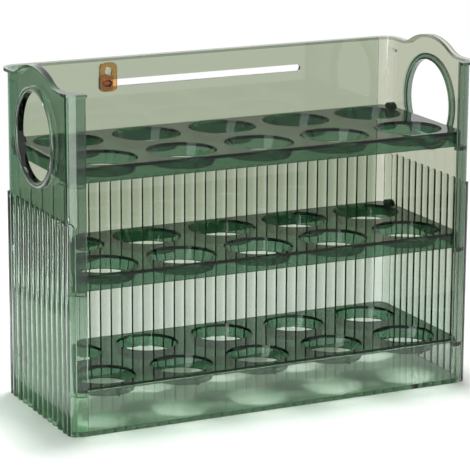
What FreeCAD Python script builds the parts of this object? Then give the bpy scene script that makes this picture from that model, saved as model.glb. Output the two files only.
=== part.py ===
import FreeCAD
import Part
import math
import os

# Three-tier egg holder for a refrigerator shelf or door, in clear green plastic.
# Frame: millimetres, +X to the right seen from the open front, +Y to the back, +Z up,
# origin at the middle of the bottom.

V = FreeCAD.Vector

# Trays and their grid of eggs
COLUMNS = 5
ROWS = 2
TRAY_WIDTH = 252.8
TRAY_DEPTH = 95.8
TRAY_CORNER = 7.0
PLATE_THICK = 2.2
SKIRT_HEIGHT = 9.0
SKIRT_THICK = 1.7
EDGE_ROUND = 0.8
UPPER_TRAY_DROP = 42.6
TIER_RISE = 62.6
BOTTOM_TRAY_RISE = 0.8

# Egg cups: cones that hang under the plate, with webs of plate left between and around them
CELL_WEB = 8.8
END_WEB = 5.8
EDGE_WEB = 2.3
FLIP_CUP_TAPER = 3.6
BOTTOM_CUP_LESS = 2.0
BOTTOM_CUP_TAPER = 2.0
CUP_DEPTH = 7.6
CUP_WALL = 1.4
CUP_RIB_THICK = 1.2
CUP_RIB_DROP = 7.0

# Hinge of a flip tray
HINGE_INSET = 9.0
HINGE_DROP = 2.5
LUG_R = 5.0
LUG_THICK = 4.0
PIN_R = 1.9
PIN_ENGAGE = 1.5
PIN_FIT = 0.06
SOCKET_END_GAP = 0.2

# Walls
WALL = 2.4
SIDE_GAP = 1.2
DEPTH_GAP = 0.7
CORNER_R = 8.0
POST_RETURN = 9.6
RIM_Z = 199.0
FRONT_WALL_Z = 26.6
LIP_OUT = 2.4
LIP_THICK = 1.8

# Hump of the side walls over the carrying hole
HUMP_RISE = 8.3
HUMP_HALF_SPAN = 33.0
HUMP_CROWN_R = 48.0

# Carrying hole
HANDLE_R = 26.1
HANDLE_DROP = 33.0
HANDLE_BEAD_WIDE = 3.6
HANDLE_BEAD_PROUD = 2.4
HANDLE_BEAD_ROUND = 1.6

# Reeds on the outside of the walls
REED_DROP = 11.3
REED_PROUD = 1.3
REED_GAP = 0.7
SIDE_REEDS = 11
BACK_REEDS = 34

# Corner ledges under the trays, and detents for the raised upper tray
LEDGE_OUT = 2.5
LEDGE_THICK = 2.4
LEDGE_REACH = 20.0
DETENT_OUT = 0.8
DETENT_LONG = 10.0
DETENT_THICK = 1.6
DETENT_DROP = 7.5

# Seams between the wall panels and the base
SEAM = 0.1
KEY_LONG = 3.0
KEY_THICK = 0.8
KEY_TALL = 7.0
TAB_LONG = 14.0
TAB_THICK = 1.4
TAB_OUT = 1.3
SIDE_TAB_Y = 20.0
BACK_TAB_X = 60.0

# Date slot in the back wall and its marker
SLOT_LEFT = -68.0
SLOT_RIGHT = 65.0
SLOT_DROP = 15.2
SLOT_HEIGHT = 4.4
MARKER_WIDE = 11.0
MARKER_TALL = 17.4
MARKER_THICK = 1.6
MARKER_CORNER = 3.0
MARKER_RISE = 4.0
MARKER_HOLE_R = 2.4
MARKER_HOLE_RISE = 7.7
MARKER_SLIT_WIDE = 1.5
MARKER_SLIT_TALL = 5.4
MARKER_SLIT_DEEP = 1.0
STEM_WIDE = 6.0
STEM_FIT = 0.25
FACE_FIT = 0.2
CLIP_WIDE = 9.0
CLIP_TALL = 10.0
CLIP_THICK = 1.4
CLIP_CORNER = 2.0
NECK_WIDE = 3.6
NECK_TALL = 2.2
NECK_FIT = 0.05

# Overlap for joins and overshoot for cuts
JOIN = 0.3
OVER = 1.0

# Sizes that follow from those above
tray_x = TRAY_WIDTH / 2
tray_y = TRAY_DEPTH / 2
inner_x = tray_x + SIDE_GAP
inner_y = tray_y + DEPTH_GAP
outer_x = inner_x + WALL
outer_y = inner_y + WALL
seam_x = outer_x - POST_RETURN
hump_top_z = RIM_Z + HUMP_RISE
upper_tray_z = RIM_Z - UPPER_TRAY_DROP
middle_tray_z = upper_tray_z - TIER_RISE
bottom_tray_z = FRONT_WALL_Z + BOTTOM_TRAY_RISE
flip_trays_z = (upper_tray_z, middle_tray_z)
hinge_y = tray_y - HINGE_INSET
handle_z = RIM_Z - HANDLE_DROP
handle_out_r = HANDLE_R + HANDLE_BEAD_WIDE
reed_top_z = handle_z - handle_out_r - REED_DROP
slot_z = RIM_Z - SLOT_DROP
marker_x = SLOT_LEFT + STEM_FIT + STEM_WIDE / 2

# The widest round mouths that leave the webs both ways, and the grid that they make
mouth_along = (TRAY_WIDTH - 2 * END_WEB - (COLUMNS - 1) * CELL_WEB) / COLUMNS
mouth_across = (TRAY_DEPTH - 2 * EDGE_WEB - (ROWS - 1) * CELL_WEB) / ROWS
flip_cup_r = min(mouth_along, mouth_across) / 2
bottom_cup_r = flip_cup_r - BOTTOM_CUP_LESS
column_pitch = (TRAY_WIDTH - 2 * END_WEB - 2 * flip_cup_r) / (COLUMNS - 1)
row_pitch = (TRAY_DEPTH - 2 * EDGE_WEB - 2 * flip_cup_r) / (ROWS - 1)


def rounded_block(half_x, half_y, low_z, high_z, corner):
    block = Part.makeBox(2 * half_x, 2 * half_y, high_z - low_z, V(-half_x, -half_y, low_z))
    uprights = [e for e in block.Edges if abs(e.tangentAt(e.FirstParameter).z) > 0.5]
    return block.makeFillet(corner, uprights)


def box(x_range, y_range, z_range):
    low = V(x_range[0], y_range[0], z_range[0])
    size = [r[1] - r[0] for r in (x_range, y_range, z_range)]
    return Part.makeBox(size[0], size[1], size[2], low)


def around(middle, length):
    return (middle - length / 2, middle + length / 2)


def wall_ring(low_z, high_z, outward=0.0):
    outer = rounded_block(outer_x + outward, outer_y + outward, low_z, high_z, CORNER_R + outward)
    inner = rounded_block(inner_x, inner_y, low_z - OVER, high_z + OVER, CORNER_R - WALL)
    return outer.cut(inner)


# The rim's line in side view: flat, a hollow foot, the crown over the hole, a foot, flat.
# An inset moves the whole line inwards by the same distance everywhere.
def under_rim(inset):
    turn = 2 * math.atan2(HUMP_RISE, HUMP_HALF_SPAN)
    foot_r = HUMP_HALF_SPAN / math.sin(turn) - HUMP_CROWN_R
    foot_z = RIM_Z + foot_r
    crown_z = hump_top_z - HUMP_CROWN_R
    far_y = outer_y + LIP_OUT + OVER

    def on_foot(side, angle):
        reach = foot_r + inset
        across = HUMP_HALF_SPAN - reach * math.sin(angle)
        return V(0, side * across, foot_z - reach * math.cos(angle))

    def on_crown(angle):
        reach = HUMP_CROWN_R - inset
        return V(0, reach * math.sin(angle), crown_z + reach * math.cos(angle))

    flat_z = RIM_Z - inset
    corners = [V(0, -far_y, 0), V(0, -far_y, flat_z), on_foot(-1, 0.0)]
    lines = [Part.makeLine(a, b) for a, b in zip(corners, corners[1:])]
    front_foot = Part.Arc(on_foot(-1, 0.0), on_foot(-1, turn / 2), on_foot(-1, turn))
    crown = Part.Arc(on_foot(-1, turn), on_crown(0.0), on_foot(1, turn))
    back_foot = Part.Arc(on_foot(1, turn), on_foot(1, turn / 2), on_foot(1, 0.0))
    ends = [on_foot(1, 0.0), V(0, far_y, flat_z), V(0, far_y, 0), V(0, -far_y, 0)]
    closing = [Part.makeLine(a, b) for a, b in zip(ends, ends[1:])]
    arcs = [front_foot.toShape(), crown.toShape(), back_foot.toShape()]
    face = Part.Face(Part.Wire(lines + arcs + closing))
    half = outer_x + LIP_OUT + OVER
    face.translate(V(-half, 0, 0))
    return face.extrude(V(2 * half, 0, 0))


# Walls all round with the turned-out lip that follows the rim
def wall_shell():
    walls = wall_ring(0.0, hump_top_z + OVER).common(under_rim(0.0))
    band = under_rim(0.0).cut(under_rim(LIP_THICK))
    lip = wall_ring(RIM_Z - 2 * LIP_THICK, hump_top_z + OVER, LIP_OUT).common(band)
    return walls.fuse(lip).removeSplitter()


# A reed is a convex rib with an arched top; this one stands on a wall that faces +X
def reed(width, root):
    radius = (width * width / 4 + REED_PROUD * REED_PROUD) / (2 * REED_PROUD)
    low_x = outer_x - root
    high_x = outer_x + REED_PROUD
    crest = Part.makeCylinder(radius, reed_top_z, V(high_x - radius, 0, 0))
    skin = box((outer_x, high_x), around(0.0, width), (0.0, reed_top_z))
    arch_z = reed_top_z - width / 2
    shaft = box((low_x, high_x), around(0.0, width), (0.0, arch_z))
    top = Part.makeCylinder(width / 2, high_x - low_x, V(low_x, 0, arch_z), V(1, 0, 0))
    foot = box((low_x, outer_x), around(0.0, width), (0.0, reed_top_z))
    return crest.common(skin).fuse(foot).common(shaft.fuse(top)).removeSplitter()


# A row of reeds on the flat of a side wall, and one more round each of its corners
def side_reeds():
    flat_y = outer_y - CORNER_R
    pitch = 2 * flat_y / SIDE_REEDS
    reeds = []
    for i in range(SIDE_REEDS):
        r = reed(pitch - REED_GAP, JOIN)
        r.translate(V(0, (i - (SIDE_REEDS - 1) / 2) * pitch, 0))
        reeds.append(r)
    turn = math.degrees(pitch / 2 / CORNER_R)
    for side in (-1, 1):
        r = reed(pitch - REED_GAP, WALL / 2)
        r.translate(V(0, side * flat_y, 0))
        r.rotate(V(outer_x - CORNER_R, side * flat_y, 0), V(0, 0, 1), side * turn)
        reeds.append(r)
    return reeds


def corner_ledge(top_z, front, reach):
    low_z = top_z - LEDGE_THICK
    bend = CORNER_R - WALL
    outside = rounded_block(inner_x + JOIN, inner_y + JOIN, low_z, top_z, bend + JOIN)
    inside = rounded_block(inner_x - LEDGE_OUT, inner_y - LEDGE_OUT, low_z - OVER, top_z + OVER, bend)
    y_range = (-outer_y, reach - outer_y) if front else (outer_y - reach, outer_y)
    place = box((seam_x, outer_x), y_range, (low_z - OVER, top_z + OVER))
    return outside.cut(inside).common(place)


def hinge_z(plate_z):
    return plate_z - HINGE_DROP


def floor_tab(middle, along_y, fit):
    half = TAB_LONG / 2 + fit
    z_range = around(WALL / 2, TAB_THICK + 2 * fit)
    reach = TAB_OUT + fit
    if along_y:
        return box((inner_x - OVER, inner_x + reach), (middle - half, middle + half), z_range)
    return box((middle - half, middle + half), (inner_y - OVER, inner_y + reach), z_range)


# A key in the thickness of the wall that joins the back wall or the base to the right side wall
def key(side_y, middle_z, fit):
    x_range = (seam_x - OVER, seam_x + KEY_LONG + fit)
    y_range = around(side_y * (inner_y + WALL / 2), KEY_THICK + 2 * fit)
    return box(x_range, y_range, around(middle_z, KEY_TALL + 2 * fit))


# Each key stands behind a tray, so that the walls stay clear between the tiers
def back_keys(fit):
    heights = [z - SKIRT_HEIGHT / 2 for z in flip_trays_z] + [FRONT_WALL_Z / 2]
    return [key(1, z, fit) for z in heights]


def front_key(fit):
    return key(-1, FRONT_WALL_Z / 2, fit)


def right_side_panel(shell):
    far = outer_x + LIP_OUT + OVER
    reach = outer_y + LIP_OUT + OVER
    panel = shell.common(box((seam_x, far), (-reach, reach), (0.0, hump_top_z + OVER)))

    bore = Part.makeCylinder(HANDLE_R, WALL + 2 * OVER, V(inner_x - OVER, 0, handle_z), V(1, 0, 0))
    panel = panel.cut(bore)
    bead_at = V(outer_x - JOIN, 0, handle_z)
    bead = Part.makeCylinder(handle_out_r, JOIN + HANDLE_BEAD_PROUD, bead_at, V(1, 0, 0))
    eye = Part.makeCylinder(HANDLE_R, WALL + HANDLE_BEAD_PROUD + OVER, V(inner_x, 0, handle_z), V(1, 0, 0))
    bead = bead.cut(eye)
    face_x = outer_x + HANDLE_BEAD_PROUD
    crest = [e for e in bead.Edges if min(v.X for v in e.Vertexes) > face_x - HANDLE_BEAD_PROUD / 2]
    bead = bead.makeFillet(HANDLE_BEAD_ROUND, crest)

    ledges = [corner_ledge(z - SKIRT_HEIGHT, True, LEDGE_REACH) for z in flip_trays_z]
    ledges += [corner_ledge(bottom_tray_z - PLATE_THICK, f, LEDGE_REACH) for f in (True, False)]
    detent_y = (inner_y - DETENT_LONG, inner_y + JOIN)
    detent_z = around(RIM_Z - DETENT_DROP, DETENT_THICK)
    detent = box((inner_x - DETENT_OUT, inner_x + JOIN), detent_y, detent_z)
    panel = panel.fuse([bead] + side_reeds() + ledges + [detent])

    cuts = []
    for z in flip_trays_z:
        depth = PIN_ENGAGE + SOCKET_END_GAP
        at = V(inner_x - OVER, hinge_y, hinge_z(z))
        cuts.append(Part.makeCylinder(PIN_R + PIN_FIT, depth + OVER, at, V(1, 0, 0)))
    cuts += [floor_tab(y, True, SEAM) for y in (-SIDE_TAB_Y, SIDE_TAB_Y)]
    cuts += back_keys(SEAM)
    cuts.append(front_key(SEAM))
    return panel.cut(cuts).removeSplitter()


def mirrored(shape):
    return shape.mirror(V(0, 0, 0), V(1, 0, 0))


# A bar with half-round ends at the height of the date slot
def round_ended(x_range, y_range, tall):
    end_r = tall / 2
    middles = (x_range[0] + end_r, x_range[1] - end_r)
    bar = box(middles, y_range, around(slot_z, tall))
    long = y_range[1] - y_range[0]
    ends = [Part.makeCylinder(end_r, long, V(x, y_range[0], slot_z), V(0, 1, 0)) for x in middles]
    return bar.fuse(ends).removeSplitter()


def back_panel(shell):
    half = seam_x - SEAM
    far = outer_y + LIP_OUT + OVER
    panel = shell.common(box((-half, half), (0.0, far), (0.0, hump_top_z)))
    pitch = 2 * half / BACK_REEDS
    one = reed(pitch - REED_GAP, JOIN)
    one.translate(V(outer_y - outer_x, 0, 0))
    one.rotate(V(0, 0, 0), V(0, 0, 1), 90)
    reeds = []
    for i in range(BACK_REEDS):
        r = one.copy()
        r.translate(V((i - (BACK_REEDS - 1) / 2) * pitch, 0, 0))
        reeds.append(r)
    keys = back_keys(0.0)
    panel = panel.fuse(reeds + keys + [mirrored(k) for k in keys])
    slot = round_ended((SLOT_LEFT, SLOT_RIGHT), (inner_y - OVER, outer_y + OVER), SLOT_HEIGHT)
    tabs = [floor_tab(x, False, SEAM) for x in (-BACK_TAB_X, BACK_TAB_X)]
    return panel.cut([slot] + tabs).removeSplitter()


def base():
    half = seam_x - SEAM
    floor = rounded_block(inner_x - SEAM, inner_y - SEAM, 0.0, WALL, CORNER_R - WALL)
    front = wall_ring(0.0, FRONT_WALL_Z).common(box((-half, half), (-outer_y, 0.0), (0.0, FRONT_WALL_Z)))
    sill = box((-half, half), (-inner_y - JOIN, -inner_y + OVER), (0.0, WALL))
    side = front_key(0.0)
    tabs = []
    for y in (-SIDE_TAB_Y, SIDE_TAB_Y):
        tab = floor_tab(y, True, 0.0)
        tabs += [tab, mirrored(tab)]
    tabs += [floor_tab(x, False, 0.0) for x in (-BACK_TAB_X, BACK_TAB_X)]
    return floor.fuse([front, sill, side, mirrored(side)] + tabs).removeSplitter()


def cells():
    for column in range(COLUMNS):
        for row in range(ROWS):
            x = (column - (COLUMNS - 1) / 2) * column_pitch
            y = (row - (ROWS - 1) / 2) * row_pitch
            yield x, y


# Cups, with the small rib that ties each front cup to the front edge
def add_cups(tray, plate_z, top_r, taper):
    low_r = top_r - taper
    slope = taper / CUP_DEPTH
    low_z = plate_z - CUP_DEPTH
    cups = []
    bores = []
    for x, y in cells():
        cups.append(Part.makeCone(low_r + CUP_WALL, top_r + CUP_WALL, CUP_DEPTH, V(x, y, low_z)))
        grow = slope * OVER
        bores.append(Part.makeCone(low_r - grow, top_r + grow, CUP_DEPTH + 2 * OVER, V(x, y, low_z - OVER)))
    plan = rounded_block(tray_x, tray_y, low_z - OVER, plate_z, TRAY_CORNER)
    ribs = []
    rib_z = (plate_z - CUP_RIB_DROP, plate_z - PLATE_THICK / 2)
    for x, y in cells():
        if y < 0:
            ribs.append(box(around(x, CUP_RIB_THICK), (-tray_y + EDGE_ROUND, y - low_r), rib_z))
    cups = [c.common(plan) for c in cups]
    return tray.fuse(cups + ribs).cut(bores).removeSplitter()


def top_rounded(block, top_z):
    edges = [e for e in block.Edges if min(v.Z for v in e.Vertexes) > top_z - EDGE_ROUND]
    return block.makeFillet(EDGE_ROUND, edges)


def flip_tray(plate_z):
    low_z = plate_z - SKIRT_HEIGHT
    tray = top_rounded(rounded_block(tray_x, tray_y, low_z, plate_z, TRAY_CORNER), plate_z)
    hollow = rounded_block(
        tray_x - SKIRT_THICK,
        tray_y - SKIRT_THICK,
        low_z - OVER,
        plate_z - PLATE_THICK,
        TRAY_CORNER - SKIRT_THICK,
    )
    tray = add_cups(tray.cut(hollow), plate_z, flip_cup_r, FLIP_CUP_TAPER)
    lug_at = V(tray_x - LUG_THICK, hinge_y, hinge_z(plate_z))
    lug = Part.makeCylinder(LUG_R, LUG_THICK, lug_at, V(1, 0, 0))
    pin_at = V(tray_x - JOIN, hinge_y, hinge_z(plate_z))
    pin = Part.makeCylinder(PIN_R, SIDE_GAP + PIN_ENGAGE + JOIN, pin_at, V(1, 0, 0))
    return tray.fuse([lug, pin, mirrored(lug), mirrored(pin)]).removeSplitter()


def bottom_tray():
    low_z = bottom_tray_z - PLATE_THICK
    plate = rounded_block(tray_x, tray_y, low_z, bottom_tray_z, TRAY_CORNER)
    plate = top_rounded(plate, bottom_tray_z)
    return add_cups(plate, bottom_tray_z, bottom_cup_r, BOTTOM_CUP_TAPER)


def upright_plate(wide, tall, thick, corner, front_y, middle_z):
    block = Part.makeBox(wide, thick, tall, V(marker_x - wide / 2, front_y, middle_z - tall / 2))
    edges = [e for e in block.Edges if abs(e.tangentAt(e.FirstParameter).y) > 0.5]
    return block.makeFillet(corner, edges)


def date_marker():
    back_y = inner_y - FACE_FIT
    front_y = back_y - MARKER_THICK
    plate_z = slot_z + MARKER_RISE
    plate = upright_plate(MARKER_WIDE, MARKER_TALL, MARKER_THICK, MARKER_CORNER, front_y, plate_z)
    stem_end = outer_y + FACE_FIT
    stem = round_ended(around(marker_x, STEM_WIDE), (back_y - JOIN, stem_end), SLOT_HEIGHT - 2 * STEM_FIT)
    neck_y = (stem_end - JOIN, stem_end + CLIP_THICK)
    neck = box(around(marker_x, NECK_WIDE), neck_y, around(slot_z, NECK_TALL))
    hole_at = V(marker_x, front_y - OVER, slot_z + MARKER_HOLE_RISE)
    hole = Part.makeCylinder(MARKER_HOLE_R, MARKER_THICK + 2 * OVER, hole_at, V(0, 1, 0))
    slit_y = (front_y - OVER, front_y + MARKER_SLIT_DEEP)
    slit = box(around(marker_x, MARKER_SLIT_WIDE), slit_y, around(slot_z, MARKER_SLIT_TALL))
    return plate.fuse([stem, neck]).cut([hole, slit]).removeSplitter()


def marker_clip():
    clip = upright_plate(CLIP_WIDE, CLIP_TALL, CLIP_THICK, CLIP_CORNER, outer_y + FACE_FIT, slot_z)
    y_range = (outer_y, outer_y + FACE_FIT + CLIP_THICK + OVER)
    eye = box(around(marker_x, NECK_WIDE + 2 * NECK_FIT), y_range, around(slot_z, NECK_TALL + 2 * NECK_FIT))
    return clip.cut(eye)


shell = wall_shell()
right = right_side_panel(shell)
pieces = {
    "left_side_panel": mirrored(right),
    "right_side_panel": right,
    "back_panel": back_panel(shell),
    "base": base(),
    "upper_flip_tray": flip_tray(upper_tray_z),
    "middle_flip_tray": flip_tray(middle_tray_z),
    "bottom_tray": bottom_tray(),
    "date_marker": date_marker(),
    "marker_clip": marker_clip(),
}

os.makedirs("parts", exist_ok=True)
for name, shape in pieces.items():
    solid = shape.Solids[0] if len(shape.Solids) == 1 else shape
    solid.exportStep("parts/" + name + ".step")
    b = solid.BoundBox
    print(name, len(shape.Solids), "solid", shape.isValid(), round(shape.Volume / 1000, 2), "cm3")
    print("  box", [round(v, 2) for v in (b.XMin, b.XMax, b.YMin, b.YMax, b.ZMin, b.ZMax)])
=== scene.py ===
import math

import bpy
from mathutils import Matrix, Vector

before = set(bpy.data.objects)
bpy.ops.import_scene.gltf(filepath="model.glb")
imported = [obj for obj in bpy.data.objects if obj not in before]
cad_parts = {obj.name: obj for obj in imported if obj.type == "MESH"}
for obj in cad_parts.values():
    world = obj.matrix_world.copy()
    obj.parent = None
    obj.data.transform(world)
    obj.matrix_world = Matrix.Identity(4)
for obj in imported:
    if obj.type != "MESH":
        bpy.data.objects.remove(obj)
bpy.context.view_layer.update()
scene = bpy.context.scene

# Camera: place in metres, aim in radians, focal length in pixels of the square frame
CAMERA_AT = Vector((-0.6476, -1.3222, 0.4605))
CAMERA_YAW = 0.4535
CAMERA_PITCH = 0.2436
CAMERA_ROLL = -0.0049
FRAME_PX = 470.0
FOCAL_PX = 2526.0
SENSOR_MM = 36.0

# Light paths: the walls pass light on many times before it comes out
LIGHT_BOUNCES = 24
TRANSPARENT_BOUNCES = 32

# Index of refraction. The trays' is low, so that their plates mirror less.
IOR_WALL = 1.49
IOR_TRAY = 1.33

# Share of the lamps' light that goes straight through a surface, in red, green and blue
WALL_LAMP_LIGHT = (0.93, 0.95, 0.93)
FLIP_LAMP_LIGHT = (0.87, 0.90, 0.87)
BOTTOM_LAMP_LIGHT = (0.62, 0.70, 0.63)

# Lowest and highest roughness
GLOSS = (0.0, 0.02)
MARKER_GLOSS = (0.02, 0.06)

# Flow marks of the moulding: size as noise scale, and the ripple in the surface in metres
FLOW_SCALE = 55.0
FLOW_DETAIL = 2.0
RIPPLE_STRENGTH = 0.02
RIPPLE_DEEP = 0.0005

# Heights, in metres, between which the walls go from their low tint to their high one: painted light and
# shade that change with height
WALL_SHADE_FADE = (0.03, 0.105)

# Side panel, in metres: height of the carrying hole's middle, and where the bead and the front post end, and
# with them their painted shade
HOLE_Z = 0.166
BEAD_FADE = (0.0297, 0.0305)
POST_FADE = (-0.0465, -0.0435)

# Trays: what they absorb per millimetre, the tint of their surfaces, and the share that is clear
TRAY_PER_MM = (0.66, 0.40, 0.62)
TRAY_TINT = (0.40, 0.54, 0.50)
TRAY_CLEAR = 0.985

# Studio: world light on surfaces, the floor, and cards that lie just over it
WORLD_FILL = 0.36
FLOOR_HALF = 4.0
FLOOR_Z = -0.0002
FLOOR_GREY = 0.93
FLOOR_ROUGHNESS = 0.9
FLOOR_SPECULAR = 0.2
FLOOR_FADE = (0.25, 0.7)
CARD_Z = 0.0002
DARK_CARD_TINT = (0.02, 0.03, 0.02)
LAMP_AIM = (0.0, 0.0, 0.1)
LOW_LAMP_TINT = (0.88, 1.0, 0.91)


def principled(name):
    material = bpy.data.materials.new(name)
    material.use_nodes = True
    return material, material.node_tree.nodes["Principled BSDF"]


def add(tree, kind, **settings):
    node = tree.nodes.new(kind)
    for setting, value in settings.items():
        setattr(node, setting, value)
    return node


# Value moved from one range to another, smoothly or in a straight line
def ramp(tree, value, ends, to=(0.0, 1.0), interpolation="SMOOTHSTEP"):
    node = add(tree, "ShaderNodeMapRange", interpolation_type=interpolation)
    node.inputs["From Min"].default_value, node.inputs["From Max"].default_value = ends
    node.inputs["To Min"].default_value, node.inputs["To Max"].default_value = to
    tree.links.new(value, node.inputs["Value"])
    return node.outputs["Result"]


def combine(tree, operation, first, second):
    node = add(tree, "ShaderNodeMath", operation=operation)
    tree.links.new(first, node.inputs[0])
    tree.links.new(second, node.inputs[1])
    return node.outputs[0]


def mix_colours(tree, factor, first, second):
    node = add(tree, "ShaderNodeMix", data_type="RGBA")
    node.inputs["A"].default_value = (*first, 1.0)
    node.inputs["B"].default_value = (*second, 1.0)
    tree.links.new(factor, node.inputs["Factor"])
    return node


def mix_shaders(tree, factor, first, second):
    node = add(tree, "ShaderNodeMixShader")
    tree.links.new(factor, node.inputs["Fac"])
    tree.links.new(first, node.inputs[1])
    tree.links.new(second, node.inputs[2])
    tree.links.new(node.outputs["Shader"], tree.nodes["Material Output"].inputs["Surface"])


# 1 where shade is painted on a side panel: on the thick bead round the carrying hole and on the front post
def bead_post_shade_share(tree, place, split):
    sideways = add(tree, "ShaderNodeVectorMath", operation="MULTIPLY")
    sideways.inputs[1].default_value = (0.0, 1.0, 1.0)
    tree.links.new(place.outputs["Object"], sideways.inputs[0])
    from_hole = add(tree, "ShaderNodeVectorMath", operation="DISTANCE")
    from_hole.inputs[1].default_value = (0.0, 0.0, HOLE_Z)
    tree.links.new(sideways.outputs["Vector"], from_hole.inputs[0])
    bead = ramp(tree, from_hole.outputs["Value"], BEAD_FADE, to=(1.0, 0.0))
    post = ramp(tree, split.outputs["Y"], POST_FADE, to=(1.0, 0.0))
    return combine(tree, "MAXIMUM", bead, post)


# Tint of a wall, from one colour low on the object to another higher up, which is painted light and shade; on
# the bead and the front post a darker painted shade
def painted_shade_by_height(tree, shader, place, low_painted_tint, high_painted_tint, bead_post_shade_tint):
    split = add(tree, "ShaderNodeSeparateXYZ")
    tree.links.new(place.outputs["Object"], split.inputs[0])
    height = ramp(tree, split.outputs["Z"], WALL_SHADE_FADE)
    tint = mix_colours(tree, height, low_painted_tint, high_painted_tint)
    if bead_post_shade_tint:
        upper = mix_colours(tree, bead_post_shade_share(tree, place, split), high_painted_tint, bead_post_shade_tint)
        tree.links.new(upper.outputs["Result"], tint.inputs["B"])
    tree.links.new(tint.outputs["Result"], shader.inputs["Base Color"])


# Moulded surface: faint flow marks in the gloss and in the flatness
def moulded_surface(tree, shader, place, roughness):
    flow = add(tree, "ShaderNodeTexNoise")
    flow.inputs["Scale"].default_value = FLOW_SCALE
    flow.inputs["Detail"].default_value = FLOW_DETAIL
    tree.links.new(place.outputs["Object"], flow.inputs["Vector"])
    haze = ramp(tree, flow.outputs["Fac"], (0.0, 1.0), to=roughness, interpolation="LINEAR")
    tree.links.new(haze, shader.inputs["Roughness"])
    ripple = add(tree, "ShaderNodeBump")
    ripple.inputs["Strength"].default_value = RIPPLE_STRENGTH
    ripple.inputs["Distance"].default_value = RIPPLE_DEEP
    tree.links.new(flow.outputs["Fac"], ripple.inputs["Height"])
    tree.links.new(ripple.outputs["Normal"], shader.inputs["Normal"])


# Light from the lamps goes straight through, so that what stands behind the plastic is lit
def lets_lamps_through(tree, shader, lamp_light):
    paths = add(tree, "ShaderNodeLightPath")
    straight = add(tree, "ShaderNodeBsdfTransparent")
    straight.inputs["Color"].default_value = (*lamp_light, 1.0)
    mix_shaders(tree, paths.outputs["Is Shadow Ray"], shader.outputs["BSDF"], straight.outputs["BSDF"])


# Clear tinted plastic. per_mm is what it absorbs per millimetre in red, green and blue, and the tint is what
# its surfaces take away: one for all of it, or a low and a high one, which paint light and shade by height.
# clear is the share that isn't scattered.
def clear_plastic(
    name,
    per_mm,
    tint,
    high_painted_tint=None,
    bead_post_shade_tint=None,
    ior=IOR_WALL,
    roughness=GLOSS,
    lamp_light=WALL_LAMP_LIGHT,
    clear=1.0,
):
    material, shader = principled(name)
    tree = material.node_tree
    shader.inputs["Transmission Weight"].default_value = clear
    shader.inputs["IOR"].default_value = ior
    place = add(tree, "ShaderNodeTexCoord")
    if high_painted_tint:
        painted_shade_by_height(tree, shader, place, tint, high_painted_tint, bead_post_shade_tint)
    else:
        shader.inputs["Base Color"].default_value = (*tint, 1.0)
    moulded_surface(tree, shader, place, roughness)
    lets_lamps_through(tree, shader, lamp_light)
    strongest = max(per_mm)
    inside = add(tree, "ShaderNodeVolumeAbsorption")
    inside.inputs["Density"].default_value = strongest * 1000.0
    inside.inputs["Color"].default_value = (*[1.0 - k / strongest for k in per_mm], 1.0)
    tree.links.new(inside.outputs["Volume"], tree.nodes["Material Output"].inputs["Volume"])
    return material


def tray_plastic(name, lamp_light):
    return clear_plastic(
        name, TRAY_PER_MM, TRAY_TINT, ior=IOR_TRAY, lamp_light=lamp_light, clear=TRAY_CLEAR
    )


# The three walls are one green plastic. Their tints and what they absorb differ for the light and shade that
# falls on each: lit and shaded copies of one material, painted light and shade.
left_wall = clear_plastic(
    "clear_green_left", per_mm=(0.12, 0.075, 0.11), tint=(0.75, 0.84, 0.76), high_painted_tint=(0.42, 0.53, 0.45)
)
right_wall = clear_plastic(
    "clear_green_right",
    per_mm=(0.21, 0.17, 0.215),
    tint=(0.93, 0.97, 0.95),
    high_painted_tint=(0.99, 0.92, 0.84),
    # Darker painted shade on the bead round the carrying hole and on the front post
    bead_post_shade_tint=(0.40, 0.53, 0.46),
)
back_wall = clear_plastic(
    "clear_green_back", per_mm=(0.24, 0.20, 0.245), tint=(1.0, 1.0, 1.0), high_painted_tint=(0.74, 0.75, 0.625)
)
base_green = clear_plastic("clear_green_base", per_mm=(0.014, 0.009, 0.013), tint=(0.69, 0.725, 0.69))
flip_green = tray_plastic("clear_green_flip", FLIP_LAMP_LIGHT)
bottom_green = tray_plastic("clear_green_bottom", BOTTOM_LAMP_LIGHT)
amber = clear_plastic(
    "amber_marker", per_mm=(0.22, 0.50, 1.15), tint=(0.97, 0.88, 0.75), roughness=MARKER_GLOSS
)

FINISH = {
    "left_side_panel": left_wall,
    "right_side_panel": right_wall,
    "back_panel": back_wall,
    "base": base_green,
    "upper_flip_tray": flip_green,
    "middle_flip_tray": flip_green,
    "bottom_tray": bottom_green,
    "date_marker": amber,
    "marker_clip": amber,
}
for node_name, finish in FINISH.items():
    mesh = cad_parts[node_name].data
    mesh.materials.clear()
    mesh.materials.append(finish)


# 1 for what the camera sees, straight or by a reflection or through the plastic, and 0 for light on surfaces
def seen_ray(tree):
    paths = add(tree, "ShaderNodeLightPath")
    direct = combine(tree, "MAXIMUM", paths.outputs["Is Camera Ray"], paths.outputs["Is Transmission Ray"])
    return combine(tree, "MAXIMUM", direct, paths.outputs["Is Glossy Ray"])


# White all round to look at, and a plain fill on surfaces
def studio_world():
    world = bpy.data.worlds.new("studio")
    scene.world = world
    world.use_nodes = True
    tree = world.node_tree
    strength = ramp(tree, seen_ray(tree), (0.0, 1.0), to=(WORLD_FILL, 1.0), interpolation="LINEAR")
    background = tree.nodes["Background"]
    background.inputs["Color"].default_value = (1.0, 1.0, 1.0, 1.0)
    tree.links.new(strength, background.inputs["Strength"])


def plane(name, x_range, y_range, z):
    mesh = bpy.data.meshes.new(name)
    corners = [(x_range[i], y_range[j], z) for i, j in ((0, 0), (1, 0), (1, 1), (0, 1))]
    mesh.from_pydata(corners, [], [(0, 1, 2, 3)])
    piece = bpy.data.objects.new(name, mesh)
    scene.collection.objects.link(piece)
    return piece


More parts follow.
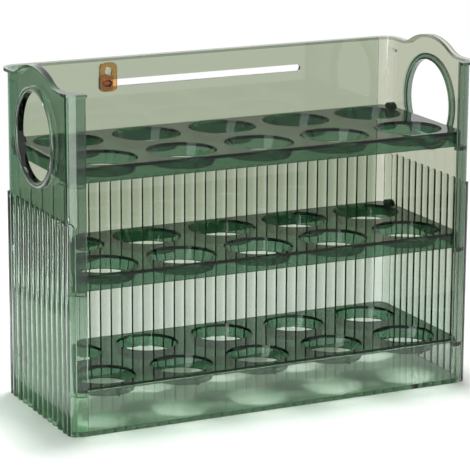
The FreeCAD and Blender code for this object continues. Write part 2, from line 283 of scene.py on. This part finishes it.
# Pale floor that takes the shadow near the object and turns to plain white further out
def pale_floor():
    floor = plane("floor", (-FLOOR_HALF, FLOOR_HALF), (-FLOOR_HALF, FLOOR_HALF), FLOOR_Z)
    material, shader = principled("pale_floor")
    tree = material.node_tree
    shader.inputs["Base Color"].default_value = (FLOOR_GREY, FLOOR_GREY, FLOOR_GREY, 1.0)
    shader.inputs["Roughness"].default_value = FLOOR_ROUGHNESS
    shader.inputs["Specular IOR Level"].default_value = FLOOR_SPECULAR
    place = add(tree, "ShaderNodeTexCoord")
    away = add(tree, "ShaderNodeVectorMath", operation="LENGTH")
    tree.links.new(place.outputs["Object"], away.inputs[0])
    share = combine(tree, "MULTIPLY", ramp(tree, away.outputs["Value"], FLOOR_FADE), seen_ray(tree))
    white = add(tree, "ShaderNodeEmission")
    mix_shaders(tree, share, shader.outputs["BSDF"], white.outputs["Emission"])
    floor.data.materials.append(material)


def only_in_reflections(piece):
    piece.visible_camera = False
    piece.visible_diffuse = False
    piece.visible_transmission = False
    piece.visible_shadow = False


# Card of a studio, which shows only in reflections
def card(name, x_range, y_range, tint, glow=0.0):
    piece = plane(name, x_range, y_range, CARD_Z)
    material, shader = principled(name)
    shader.inputs["Base Color"].default_value = (*tint, 1.0)
    if glow:
        shader.inputs["Emission Color"].default_value = (1.0, 1.0, 1.0, 1.0)
        shader.inputs["Emission Strength"].default_value = glow
    else:
        shader.inputs["Roughness"].default_value = 1.0
    piece.data.materials.append(material)
    only_in_reflections(piece)


def softbox(name, at, aim, size, watts):
    light = bpy.data.lights.new(name, "AREA")
    light.shape = "RECTANGLE"
    light.size, light.size_y = size
    light.energy = watts
    lamp = bpy.data.objects.new(name, light)
    lamp.location = at
    lamp.rotation_euler = (Vector(aim) - Vector(at)).to_track_quat("-Z", "Y").to_euler()
    lamp.visible_camera = False
    scene.collection.objects.link(lamp)
    return lamp


studio_world()
pale_floor()
# The left wall reflects these: the dark card high up, the near one low down, and the far one on its reeds
card("dark_card", (-0.85, -0.32), (0.36, 1.40), DARK_CARD_TINT)
card("near_card", (-0.37, -0.166), (-0.10, 0.24), (0.0, 0.0, 0.0), glow=3.0)
card("far_card", (-0.62, -0.37), (0.09, 0.18), (0.0, 0.0, 0.0), glow=11.0)
softbox("top_softbox", at=(0.10, 0.14, 1.4), aim=LAMP_AIM, size=(0.30, 0.30), watts=15.0)
softbox("left_softbox", at=(-1.2, -0.6, 1.0), aim=LAMP_AIM, size=(0.8, 0.8), watts=6.0)
softbox("back_softbox", at=(0.1, 1.3, 0.8), aim=(0.0, 0.0, 0.02), size=(0.5, 0.5), watts=5.0)
# Highlight on the left front post and on the bead of the left carrying hole
low_lamp = softbox(
    "low_softbox", at=(-0.54, -0.22, 0.15), aim=(-0.13, -0.03, 0.12), size=(0.55, 0.30), watts=3.0
)
low_lamp.data.color = LOW_LAMP_TINT
only_in_reflections(low_lamp)

camera_data = bpy.data.cameras.new("camera")
camera_data.sensor_width = SENSOR_MM
camera_data.lens = FOCAL_PX / FRAME_PX * SENSOR_MM
camera = bpy.data.objects.new("camera", camera_data)
ahead = Vector(
    (
        math.sin(CAMERA_YAW) * math.cos(CAMERA_PITCH),
        math.cos(CAMERA_YAW) * math.cos(CAMERA_PITCH),
        -math.sin(CAMERA_PITCH),
    )
)
level = Vector((math.cos(CAMERA_YAW), -math.sin(CAMERA_YAW), 0.0))
below = ahead.cross(level)
right = level * math.cos(CAMERA_ROLL) + below * math.sin(CAMERA_ROLL)
down = below * math.cos(CAMERA_ROLL) - level * math.sin(CAMERA_ROLL)
turn = Matrix((right, -down, -ahead)).transposed()
camera.matrix_world = Matrix.Translation(CAMERA_AT) @ turn.to_4x4()
scene.collection.objects.link(camera)
scene.camera = camera
scene.view_settings.view_transform = "Standard"
scene.cycles.max_bounces = LIGHT_BOUNCES
scene.cycles.transmission_bounces = LIGHT_BOUNCES
scene.cycles.glossy_bounces = LIGHT_BOUNCES
scene.cycles.transparent_max_bounces = TRANSPARENT_BOUNCES
